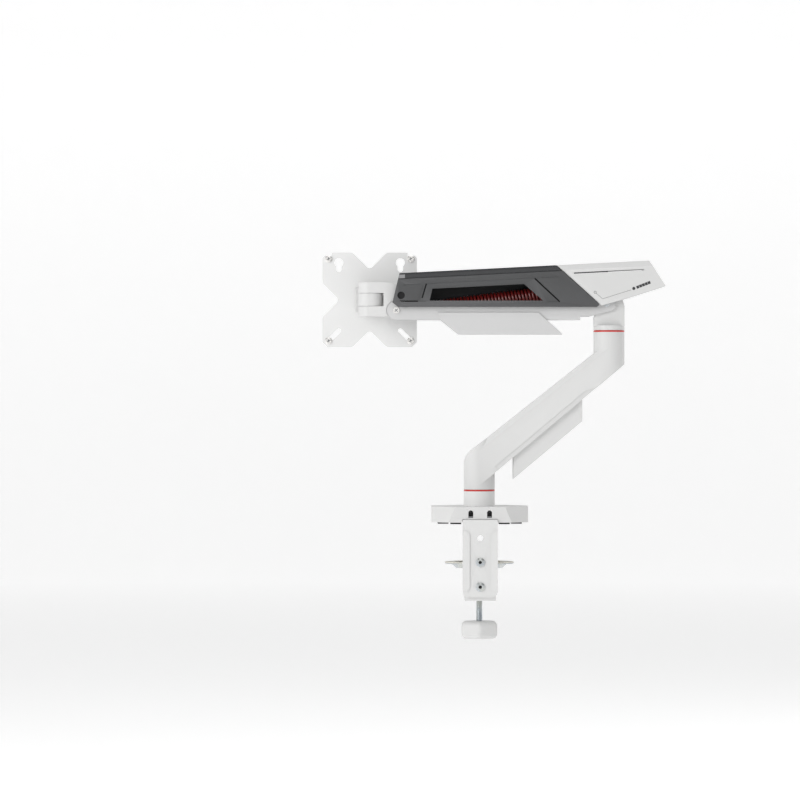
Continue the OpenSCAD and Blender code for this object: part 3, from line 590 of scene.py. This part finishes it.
# The coil's head end and elbow end, as offsets from the elbow's upper pivot
SPRING_START = Vector((-0.2269, 0, -0.0266))
SPRING_END = Vector((-0.0439, 0, -0.003))
SPRING_COIL_R = 9.3 * MM
SPRING_WIRE_R = 1.7 * MM
SPRING_PITCH = 4.1 * MM


def make_spring(materials):
    """The coil rides on the link."""
    pivot = Vector(joints["arm_lift"]["pos_m"])
    start = pivot + SPRING_START
    end = pivot + SPRING_END
    verts, faces = spring_mesh(start, end, SPRING_COIL_R, SPRING_WIRE_R, SPRING_PITCH)
    spring = new_object("lift_coil", verts, faces, materials["red_spring"])
    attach(spring, "link")
    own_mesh(spring)
    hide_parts("lift_spring")


SCREW_R = 4 * MM
SCREW_PITCH = 1.25 * MM
SCREW_THREAD = 0.62 * MM
JOURNAL_R = 3 * MM
SCREW_SIDES = 32
JOURNAL_LONG = 9.6 * MM


def make_clamp_screw(materials):
    """The threaded spindle with the plain journal that turns in the pressure plate."""
    low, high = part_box("clamp_screw")
    shoulder = high.z - JOURNAL_LONG
    rows = threaded_rows(low.z, shoulder, SCREW_R, SCREW_PITCH, SCREW_THREAD, sides=SCREW_SIDES)
    chamfer = 0.4 * MM
    for z, r in (
        (shoulder, JOURNAL_R),
        (high.z - chamfer, JOURNAL_R),
        (high.z, JOURNAL_R - chamfer),
    ):
        rows.append((z, [r] * SCREW_SIDES))
    verts, faces = rod_mesh(rows)
    screw = new_object("clamp_spindle", verts, faces, materials["zinc"])
    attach(screw, "screw")
    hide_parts("clamp_screw")


# ---- Printed marks on the tail cover ----

# Places are millimetres from the elbow's upper pivot
MARK_RING = (-19.9, -4.7)
RING_IN = 1.15
RING_OUT = 1.6
RING_SIDES = 12
MARK_LINE = [(-18.7, -5.8), (-11.0, -12.7), (23.3, -1.9)]
MARK_DOT = (26.6, -0.2)
DOT_R = 1.9 * MM
MARK_SLOT = [(-45.4, 18.2), (-4.6, 20.3)]
SLOT_WIDTH = 1.5 * MM
MARK_LABEL = [(29.9, 0.9), (46.8, 7.5)]
MARK_HEIGHT = 0.06 * MM
LINE_WIDTH = 0.35 * MM
LABEL_WIDTH = 3.3 * MM
LABEL_DASHES = 5
DASH_SHARE = 0.9


def make_marks(materials):
    """Plain printed shapes: a ring, a thin line, a dot and a bar of short dashes."""
    pivot = Vector(joints["arm_lift"]["pos_m"])
    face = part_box("tail_cover_back")[0].y
    near = face - MARK_HEIGHT
    inside = face + MARK_HEIGHT

    def spot(offset):
        return (pivot.x + offset[0] * MM, pivot.z + offset[1] * MM)

    outlines = [bar_outline(spot(MARK_LINE[i]), spot(MARK_LINE[i + 1]), LINE_WIDTH) for i in range(2)]
    outlines.append(round_outline(spot(MARK_DOT), DOT_R))
    outlines.append(bar_outline(spot(MARK_SLOT[0]), spot(MARK_SLOT[1]), SLOT_WIDTH))
    centre = spot(MARK_RING)
    for i in range(RING_SIDES):
        a = TAU * i / RING_SIDES
        b = TAU * (i + 1) / RING_SIDES
        outlines.append([
            (centre[0] + r * MM * math.cos(t), centre[1] + r * MM * math.sin(t))
            for r, t in ((RING_IN, a), (RING_IN, b), (RING_OUT, b), (RING_OUT, a))
        ])
    start = Vector(spot(MARK_LABEL[0]))
    end = Vector(spot(MARK_LABEL[1]))
    for i in range(LABEL_DASHES):
        p = start.lerp(end, i / LABEL_DASHES)
        q = start.lerp(end, (i + DASH_SHARE) / LABEL_DASHES)
        outlines.append(bar_outline(p, q, LABEL_WIDTH))
    verts = []
    faces = []
    for outline in outlines:
        more, sides = prism(outline, near, inside, len(verts))
        verts += more
        faces += sides
    marks = new_object("tail_marks", verts, faces, materials["black_plastic"], smooth=False)
    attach(marks, "upper_arm")


def main():
    make_camera()
    make_world()
    make_floor(floor_material())
    for light in LIGHTS:
        make_light(*light)
    materials = make_materials()
    finish_nodes(materials)
    add_cap(materials["grey_bevel_shade"])
    # Painted shade on the upward-facing bevels of the side covers
    paint_bevel_shade(materials["grey_bevel_shade"])
    # Painted shade in the screw and bolt recesses
    paint_shade_in_recesses(materials)
    nodes["jaw_bolts"].data.materials[0] = materials["zinc"]
    # The top strip's own dark plastic, darkened further as painted shade
    nodes["top_strip"].data.materials[0] = materials["strip_plastic_shade"]
    # Painted light: the VESA plate and the post get the lighter copy of white_metal
    for name in ("vesa_plate", "base_post"):
        nodes[name].data.materials[0] = materials["lit_white_metal"]
    make_spring(materials)
    make_clamp_screw(materials)
    make_marks(materials)
    bpy.context.scene.view_settings.view_transform = "Standard"


main()
bpy.context.view_layer.update()
